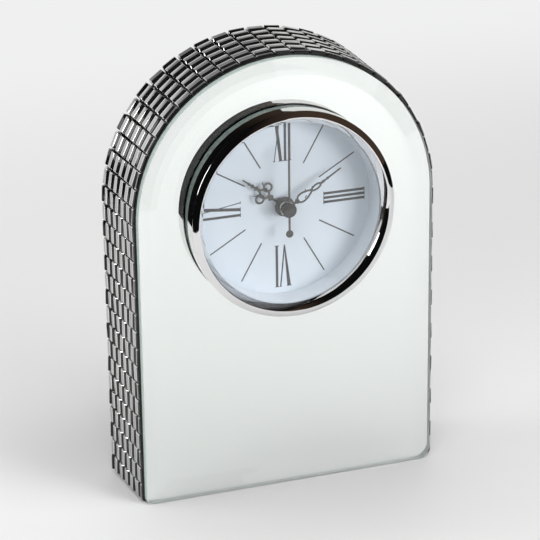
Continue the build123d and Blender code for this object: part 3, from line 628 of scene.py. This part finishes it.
def numeralStrokes(p):
    inner, outer, bar, thin = p["inner"], p["outer"], p["barWidth"], p["thinWidth"]
    inFoot, outFoot = inner + p["serif"], outer - p["serif"]

    def feet(side, width, reach):
        over = width + 2 * p["serifOver"]
        return stroke((side, reach), (side, reach + p["serif"]), over)

    def straight(side):
        return [stroke((side, inner), (side, outer), bar), feet(side, bar, inner), feet(side, bar, outFoot)]

    def cross(thick, fine):
        # each stroke has its side at the outer end and at the inner end
        wide = bar + p["crossExtra"]
        return [stroke((thick[1], inner), (thick[0], outer), wide),
                stroke((fine[1], inner), (fine[0], outer), thin),
                feet(thick[1], wide, inner), feet(thick[0], wide, outFoot),
                feet(fine[1], thin, inner), feet(fine[0], thin, outFoot)]

    def vee(thick, fine, point):
        return [stroke((point, inner), (thick, outer), bar + p["veeExtra"], thin),
                stroke((point, inner), (fine, outer), thin + p["veeThin"]),
                feet(thick, bar + p["veeFoot"], outFoot), feet(fine, thin, outFoot)]

    numerals = {
        0.0: cross((-2.75, -0.5), (-0.9, -3.55)) + straight(1.55) + straight(3.5),
        90.0: straight(-2.0) + straight(0.0) + straight(2.0),
        180.0: vee(-2.85, 1.2, -0.8) + straight(2.85),
        270.0: straight(-2.9) + cross((1.7, -0.4), (-0.3, 2.8)),
    }
    lines = [stroke((0, p["lineInner"]), (0, p["lineOuter"]), p["lineWidth"])]
    marks = numerals | {30.0 * hour: lines for hour in (1, 2, 4, 5, 7, 8, 10, 11)}
    quads = [quad for strokes in marks.values() for quad in strokes]
    angles = [angle for angle, strokes in marks.items() for _ in strokes]
    return np.array(quads), np.radians(angles)


def buildDialPrint(p):
    # each stroke is a flat block of ink; neighbours differ a hair in height, so none share a face
    quads, angles = numeralStrokes(p)
    count = len(quads)
    sin, cos = np.sin(angles)[:, None], np.cos(angles)[:, None]
    side, reach = quads[..., 0], quads[..., 1]
    x, z = p["shift"][0] + side * cos + reach * sin, p["shift"][1] + reach * cos - side * sin
    layer = (np.arange(count) % p["layers"])[:, None]
    front = p["cardFront"] - p["lift"] - p["inkDepth"] - p["stagger"] * layer
    back = np.full((count, 1), p["cardFront"] - p["sink"])
    depths = np.stack(np.broadcast_arrays(front, back), 1)
    points = np.stack(np.broadcast_arrays(x[:, None], depths, z[:, None]), -1)
    block = np.array([(0, 1, 2, 3), (4, 7, 6, 5), (0, 4, 5, 1), (1, 5, 6, 2), (2, 6, 7, 3), (3, 7, 4, 0)])
    blockPoints = block.max() + 1
    faces = (block[None] + blockPoints * np.arange(count)[:, None, None]).reshape(-1, 4)
    makePiece("dial_print", points, faces, [finishes["dialInk"]], "case")


buildDialPrint(dialPrint)
print("dial print done")

# Hands: ribbons with a rounded section along paths in the hand's own plane
handThickness = 0.4
handBacks = {node: span(node)[1][1] for node in ("hour_hand", "minute_hand", "second_hand")}
# strokes that overlap have their own share of the thickness, so none share a face
strokeShare = dict(loop=0.95, smallLoop=0.92, curl=0.9, spur=0.85, barb=0.8)
# blades hold (reach, width) stations and a count of points; paths hold (side, reach)
hourHand = dict(angle=307.0, depth=handBacks["hour_hand"] - handThickness / 2, thickness=handThickness,
                bossRadius=4.5, bossBore=2.3, wire=1.0, shield=(12.1, (1.75, 2.45), -0.42, 40),
                curlCentre=(3.1, 12.2), curlRadius=1.85, curlPoints=40, spurWidth=(0.75, 0.4, 12),
                barbWidth=(0.6, 0.35, 10), spur=((2.35, 13.5), (2.75, 14.3), (3.15, 15.0), (3.6, 15.7)),
                barb=((1.45, 12.6), (1.9, 12.9), (2.3, 12.7), (2.45, 12.2)),
                neck=(((3.0, 2.2), (4.4, 1.5), (5.9, 1.1), (7.1, 1.3), (7.7, 2.9), (8.4, 3.0), (8.9, 2.0),
                       (9.6, 2.2), (10.0, 1.6)), 60),
                point=(((14.2, 1.2), (14.8, 1.7), (15.6, 1.2), (16.3, 1.5), (16.7, 3.0), (17.0, 1.5),
                        (17.5, 0.8), (18.1, 1.3), (18.8, 2.0), (19.5, 1.0), (19.9, 0.75), (20.5, 1.5),
                        (21.1, 0.85), (23.9, 0.7), (24.4, 0.4)), 120))
minuteHand = dict(angle=58.0, depth=handBacks["minute_hand"] - handThickness / 2, thickness=handThickness,
                  bossRadius=3.3, bossBore=1.3, wire=0.88, loop=(9.65, (1.8, 3.75), -0.45, 48),
                  smallLoop=(15.9, (1.0, 2.45), 0.15, 48), taper=0.55, spurPoints=12,
                  neck=(((2.6, 1.7), (4.2, 1.2), (4.7, 1.5), (5.1, 2.6), (5.7, 2.5), (6.1, 1.5),
                         (6.5, 1.1)), 40),
                  knot=(((12.7, 0.7), (13.4, 1.6), (14.1, 0.7)), 16),
                  point=(((18.1, 0.7), (18.6, 1.0), (19.9, 1.5), (21.1, 0.8), (21.6, 0.75), (22.3, 1.45),
                          (22.9, 0.85), (29.2, 0.72), (29.8, 0.4)), 100),
                  spurs=((((-1.25, 10.4), (-1.5, 10.9), (-2.0, 11.3), (-2.5, 11.3)), 0.6),
                         (((1.25, 9.2), (0.8, 9.6), (0.55, 10.1), (0.75, 10.5)), 0.55),
                         (((-0.5, 13.9), (-1.0, 14.3), (-1.4, 14.8)), 0.55),
                         (((0.4, 13.1), (0.8, 12.8), (1.15, 12.5)), 0.55)))
secondHand = dict(depth=handBacks["second_hand"] - handThickness / 2, thickness=handThickness, angle=0.0,
                  blade=(((-10.8, 1.0), (0, 1.05), (20, 0.95), (28.0, 0.8), (28.3, 0.45)), 60),
                  discReach=-10.8, discRadius=1.7, discBore=0.02, discLift=0.02, discSegments=40,
                  capRadius=3.3, capFront=span("second_hand")[0][1], capSkirt=0.25, capEase=0.1, capSteps=12,
                  capSegments=64)


def ribbon(path, width, thickness, closed=False, sides=10, squareness=(0.7, 0.6)):
    # section (w/2 cos v, t/2 sin v), both to a power below 1 for flat shoulders, carried square to the path
    path = np.asarray(path, float)
    width = np.broadcast_to(np.asarray(width, float), len(path))[:, None]
    if closed:
        run = np.roll(path, -1, 0) - np.roll(path, 1, 0)
    else:
        run = np.gradient(path, axis=0)
    run /= np.linalg.norm(run, axis=1, keepdims=True)
    across = np.stack([run[:, 1], -run[:, 0]], -1)
    turn = np.linspace(0, 2 * np.pi, sides, endpoint=False)[None, :]
    offset = width / 2 * np.sign(np.cos(turn)) * np.abs(np.cos(turn)) ** squareness[0]
    rise = thickness / 2 * np.sign(np.sin(turn)) * np.abs(np.sin(turn)) ** squareness[1] * np.ones_like(width)
    flat = path[:, None] + offset[..., None] * across[:, None]
    faces = gridFaces(len(path), sides, closed, True).tolist()
    if not closed:
        last = (len(path) - 1) * sides
        faces += [list(range(sides)), list(range(last, last + sides))]
    return np.concatenate([flat, rise[..., None]], -1).reshape(-1, 3), faces  # (side, reach, rise)


def spine(stations, count):
    # straight ribbon along the reach, its width eased between (reach, width) stations
    stations = np.asarray(stations, float)
    reach = np.linspace(stations[0, 0], stations[-1, 0], count)
    width = np.interp(reach, stations[:, 0], stations[:, 1])
    return np.stack([np.zeros(count), reach], -1), width


def curve(points, count):
    # smooth open path through a few points: each coordinate is a cubic of the run length
    points = np.asarray(points, float)
    run = np.linspace(0, 1, len(points))
    t = np.linspace(0, 1, count)
    fit = [np.polyval(np.polyfit(run, points[:, axis], min(3, len(points) - 1)), t) for axis in (0, 1)]
    return np.stack(fit, -1)


def loopPath(centre, halves, lean, count):
    # closed drop: side = a sin t (1 + lean cos t), reach = centre + b cos t
    t = np.linspace(0, 2 * np.pi, count, endpoint=False)
    return np.stack([halves[0] * np.sin(t) * (1 + lean * np.cos(t)), centre + halves[1] * np.cos(t)], -1)


def turned(profile, segments, closed):
    # (radius, rise) profile turned about the hand's own axis: side = r cos a, reach = r sin a
    angle = np.linspace(0, 2 * np.pi, segments, endpoint=False)[None, :]
    radius, rise = profile[:, :1], profile[:, 1:]
    ring = np.stack(np.broadcast_arrays(radius * np.cos(angle), radius * np.sin(angle), rise), -1)
    return ring.reshape(-1, 3), gridFaces(len(profile), segments, closed, True).tolist()


def flatRing(outer, bore, thickness, segments=48, easeShare=0.3, easeSteps=3):
    # washer with eased edges in the hand's plane
    half = thickness / 2
    corners = [(bore, -half), (outer, -half), (outer, half), (bore, half)]
    profile = eased(corners, thickness * easeShare, easeSteps)
    return turned(profile, segments, True)


def buildHand(name, parts, setting, body, node, special=None):
    # parts lie in (side, reach, rise); the hand turns them to its angle and sets them at its depth;
    # special is the place in parts and the finish of a part that differs
    starts = np.cumsum([0] + [len(points) for points, _ in parts])
    faces = [[corner + start for corner in face] for (_, some), start in zip(parts, starts) for face in some]
    local = np.concatenate([points for points, _ in parts])
    place, otherFinish = special or (None, None)
    shades = [int(index == place) for index, (_, some) in enumerate(parts) for _ in some]
    materials = [finishes["gunmetal"]]
    if otherFinish:
        materials.append(finishes[otherFinish])
    angle = math.radians(setting["angle"])
    x = local[:, 0] * math.cos(angle) + local[:, 1] * math.sin(angle)
    z = local[:, 1] * math.cos(angle) - local[:, 0] * math.sin(angle)
    points = np.stack([x, setting["depth"] - local[:, 2], z], -1)
    makePiece(name, points, faces, materials, body, [node], faceMaterial=shades, sharpAngle=40.0)


def buildHourHand(h):
    # boss, neck, pierced shield and beaded point, with a round curl, a spur and a barb on each side
    thick = {part: h["thickness"] * share for part, share in strokeShare.items()}
    parts = [flatRing(h["bossRadius"], h["bossBore"], h["thickness"]),
             ribbon(*spine(*h["neck"]), h["thickness"]),
             ribbon(loopPath(*h["shield"]), h["wire"], thick["loop"], True),
             ribbon(*spine(*h["point"]), h["thickness"])]
    t = np.linspace(0, 2 * np.pi, h["curlPoints"], endpoint=False)
    (aside, along), radius = h["curlCentre"], h["curlRadius"]
    for side in (-1, 1):
        curl = np.stack([side * (aside + radius * np.cos(t)), along + radius * np.sin(t)], -1)
        parts.append(ribbon(curl, h["wire"], thick["curl"], True))
        for part in ("spur", "barb"):
            width = np.linspace(*h[part + "Width"])
            parts.append(ribbon(curve(np.array(h[part]) * (side, 1), len(width)), width, thick[part]))
    buildHand("hour_hand_filigree", parts, h, "hour", "hour_hand")


def buildMinuteHand(h):
    # boss, neck, large loop, small loop, knot between them, beaded point and tapered spurs
    thick = {part: h["thickness"] * share for part, share in strokeShare.items()}
    parts = [flatRing(h["bossRadius"], h["bossBore"], h["thickness"]),
             ribbon(*spine(*h["neck"]), h["thickness"]),
             ribbon(loopPath(*h["loop"]), h["wire"], thick["loop"], True),
             ribbon(loopPath(*h["smallLoop"]), h["wire"], thick["smallLoop"], True),
             ribbon(*spine(*h["knot"]), h["thickness"]),
             ribbon(*spine(*h["point"]), h["thickness"])]
    for path, wide in h["spurs"]:
        width = np.linspace(wide, wide * h["taper"], h["spurPoints"])
        parts.append(ribbon(curve(path, h["spurPoints"]), width, thick["spur"]))
    buildHand("minute_hand_filigree", parts, h, "minute", "minute_hand", (0, "bossSteel"))


def buildSecondHand(h):
    # thin blade, tail disc, and a cap whose dome is a quarter ellipse
    parts = [ribbon(*spine(*h["blade"]), h["thickness"])]
    disc, discFaces = flatRing(h["discRadius"], h["discBore"], h["thickness"], h["discSegments"])
    parts.append((disc + (0, h["discReach"], h["discLift"]), discFaces))
    rim, front, back = h["capRadius"], h["depth"] - h["capFront"], -h["thickness"] / 2
    skirt, ease = h["capSkirt"], h["capEase"]
    bow = np.linspace(0, np.pi / 2, h["capSteps"])
    dome = np.stack([rim * np.cos(bow), skirt + (front - skirt) * np.sin(bow)], -1)
    profile = np.concatenate([[(0.0, back), (rim - ease, back), (rim, back + ease)], dome])
    parts.append(turned(profile, h["capSegments"], False))
    buildHand("second_hand_sweep", parts, h, "second", "second_hand", (2, "capBlack"))


buildHourHand(hourHand)
buildMinuteHand(minuteHand)
buildSecondHand(secondHand)
print("hands done")

# Stage: pale floor, soft lamps, and a room that is pale behind the clock and dim elsewhere
stageSet = dict(floorLow=(-8.0, -1.0), floorHigh=(8.0, 10.0), floorTone=(0.84, 0.84, 0.845),
                floorRough=(0.5, 0.55), sweep=(0.1, 0.75), backdrop=(0.87, 0.87, 0.875),
                tableLeft=(0.777, 0.629, 0.366), tableRight=0.64, edgeBlur=0.012, paleRoom=(0.95, 0.95, 0.95),
                greyRoom=(0.30, 0.30, 0.30), dimLeft=(0.004, 0.004, 0.004), dimRight=(0.055, 0.036, 0.026),
                sheetTop=(0.28, 0.50), ahead=(0.75, 0.45), dimTurn=(-0.2, 0.5))


def splitPlace(tree, output):
    place = tree.nodes.new("ShaderNodeTexCoord")
    split = tree.nodes.new("ShaderNodeSeparateXYZ")
    tree.links.new(place.outputs[output], split.inputs["Vector"])
    return split.outputs


def glowNode(tree, colour):
    glow = tree.nodes.new("ShaderNodeEmission")
    glow.inputs["Color"].default_value = (*colour, 1)
    return glow.outputs["Emission"]


def sweep(material, s):
    # behind the clock the floor runs out into an even pale backdrop, for the camera and for glass and metal;
    # past the table's left and right edges all but the camera sees the dim room instead
    tree = material.node_tree
    place = splitPlace(tree, "Object")
    lightPath = tree.nodes.new("ShaderNodeLightPath").outputs
    seen = mathNode(tree, "MAXIMUM", lightPath["Is Camera Ray"], lightPath["Is Glossy Ray"])
    seen = mathNode(tree, "MAXIMUM", seen, lightPath["Is Transmission Ray"])
    far = mathNode(tree, "MULTIPLY", rampNode(tree, place["Y"], *s["sweep"]), seen)
    alongX, alongY, offset = s["tableLeft"]
    fromLeft = mathNode(tree, "ADD", mathNode(tree, "MULTIPLY", place["X"], alongX),
                        mathNode(tree, "MULTIPLY", place["Y"], alongY))
    pastLeft = rampNode(tree, fromLeft, -offset, -offset - s["edgeBlur"])
    pastRight = rampNode(tree, place["X"], s["tableRight"], s["tableRight"] + s["edgeBlur"])
    past = mathNode(tree, "MAXIMUM", pastLeft, pastRight)
    past = mathNode(tree, "MULTIPLY", past, mathNode(tree, "SUBTRACT", 1.0, lightPath["Is Camera Ray"]))
    matt = tree.nodes["Principled BSDF"].outputs["BSDF"]
    paper = mixShaders(tree, far, matt, glowNode(tree, s["backdrop"]))
    table = mixShaders(tree, past, paper, glowNode(tree, s["dimLeft"]))
    tree.links.new(table, tree.nodes["Material Output"].inputs["Surface"])


def buildFloor(s):
    low, high = s["floorLow"], s["floorHigh"]
    mesh = bpy.data.meshes.new("floor")
    corners = [(low[0], low[1], 0), (high[0], low[1], 0), (high[0], high[1], 0), (low[0], high[1], 0)]
    mesh.from_pydata(corners, [], [(0, 1, 2, 3)])
    material = finish("floorPale", s["floorTone"], rough=s["floorRough"])
    mesh.materials.append(material)
    sweep(material, s)
    floor = bpy.data.objects.new("floor", mesh)
    scene.collection.objects.link(floor)


def buildRoom(s):
    # pale paper behind up to its top edge, grey above it, dim elsewhere; the camera sees only pale
    world = bpy.data.worlds.new("room")
    scene.world = world
    world.use_nodes = True
    tree = world.node_tree
    heading = splitPlace(tree, "Generated")
    aboveSheet = rampNode(tree, heading["Z"], *s["sheetTop"])
    ahead = rampNode(tree, heading["Y"], *s["ahead"])
    unseen = mathNode(tree, "SUBTRACT", 1.0, tree.nodes.new("ShaderNodeLightPath").outputs["Is Camera Ray"])
    behind = mixColours(tree, mathNode(tree, "MULTIPLY", aboveSheet, unseen), s["paleRoom"], s["greyRoom"])
    dim = mixColours(tree, rampNode(tree, heading["X"], *s["dimTurn"]), s["dimLeft"], s["dimRight"])
    room = mixColours(tree, mathNode(tree, "MULTIPLY", ahead, unseen), behind, dim)
    tree.links.new(room, tree.nodes["Background"].inputs["Color"])


lamps = {
    "softboxKey": dict(place=(0.40, -0.42, 1.45), aim=(0, -0.05, 0.05), size=(0.6, 0.6), power=6.7),
    "softboxTop": dict(place=(-0.34, -0.55, 1.45), aim=(0, -0.05, 0.05), size=(0.6, 0.5), power=4.2),
    "softboxBack": dict(place=(0.10, 0.95, 1.40), aim=(0, 0, 0.05), size=(2.2, 1.4), power=7.0),
    "softboxLeft": dict(place=(-1.10, 0.33, 0.53), aim=(0, 0.02, 0.17), size=(0.9, 0.5), power=7.0),
    "cardRight": dict(place=(0.66, -1.34, 0.34), aim=(0, 0, 0.13), size=(0.47, 0.75), power=0.9),
    "fillRight": dict(place=(0.95, -1.25, 0.30), aim=(0, 0, 0.13), size=(0.7, 0.7), power=17.0),
    "fillFront": dict(place=(0.0, -0.75, 1.0), aim=(0, -0.35, 0), size=(0.9, 0.5), power=2.2),
    "fillLeft": dict(place=(-0.75, -1.25, 0.32), aim=(0, 0, 0.13), size=(0.5, 0.5), power=5.0),
}
mirroredLamps = ("softboxLeft", "cardRight")  # the others light matt surfaces only


def buildLamps():
    for name, lamp in lamps.items():
        light = bpy.data.lights.new(name, "AREA")
        light.shape = "RECTANGLE"
        light.size, light.size_y = lamp["size"]
        light.energy = lamp["power"]
        holder = bpy.data.objects.new(name, light)
        holder.location = lamp["place"]
        heading = Vector(lamp["aim"]) - Vector(lamp["place"])
        holder.rotation_euler = heading.to_track_quat("-Z", "Y").to_euler()
        holder.visible_glossy = holder.visible_transmission = name in mirroredLamps
        scene.collection.objects.link(holder)


# Camera: fitted to the photograph's edges, 540 x 540
viewpoint = dict(target=(-0.0094, dialCentre[1], 0.10435), distance=1.0625, yaw=20.04, pitch=20.35,
                 roll=-0.76, focal=2420.0, frame=540.0, sensor=36.0, clip=(0.01, 50))


def buildCamera(v):
    yaw, pitch, roll = (math.radians(v[key]) for key in ("yaw", "pitch", "roll"))
    back = Vector((-math.sin(yaw) * math.cos(pitch), -math.cos(yaw) * math.cos(pitch), math.sin(pitch)))
    right = (-back).cross(Vector((0, 0, 1))).normalized()
    up = back.cross(right)
    turnedRight = math.cos(roll) * right + math.sin(roll) * up
    turnedUp = math.cos(roll) * up - math.sin(roll) * right
    data = bpy.data.cameras.new("camera")
    data.sensor_width = v["sensor"]
    data.lens = v["focal"] * v["sensor"] / v["frame"]
    data.clip_start, data.clip_end = v["clip"]
    camera = bpy.data.objects.new("camera", data)
    spot = Vector(v["target"]) + back * v["distance"]
    turn = Matrix((turnedRight, turnedUp, back)).transposed().to_4x4()
    camera.matrix_world = Matrix.Translation(spot) @ turn
    scene.collection.objects.link(camera)
    scene.camera = camera


buildFloor(stageSet)
buildRoom(stageSet)
buildLamps()
buildCamera(viewpoint)
scene.view_settings.view_transform = "Standard"
print("stage done")
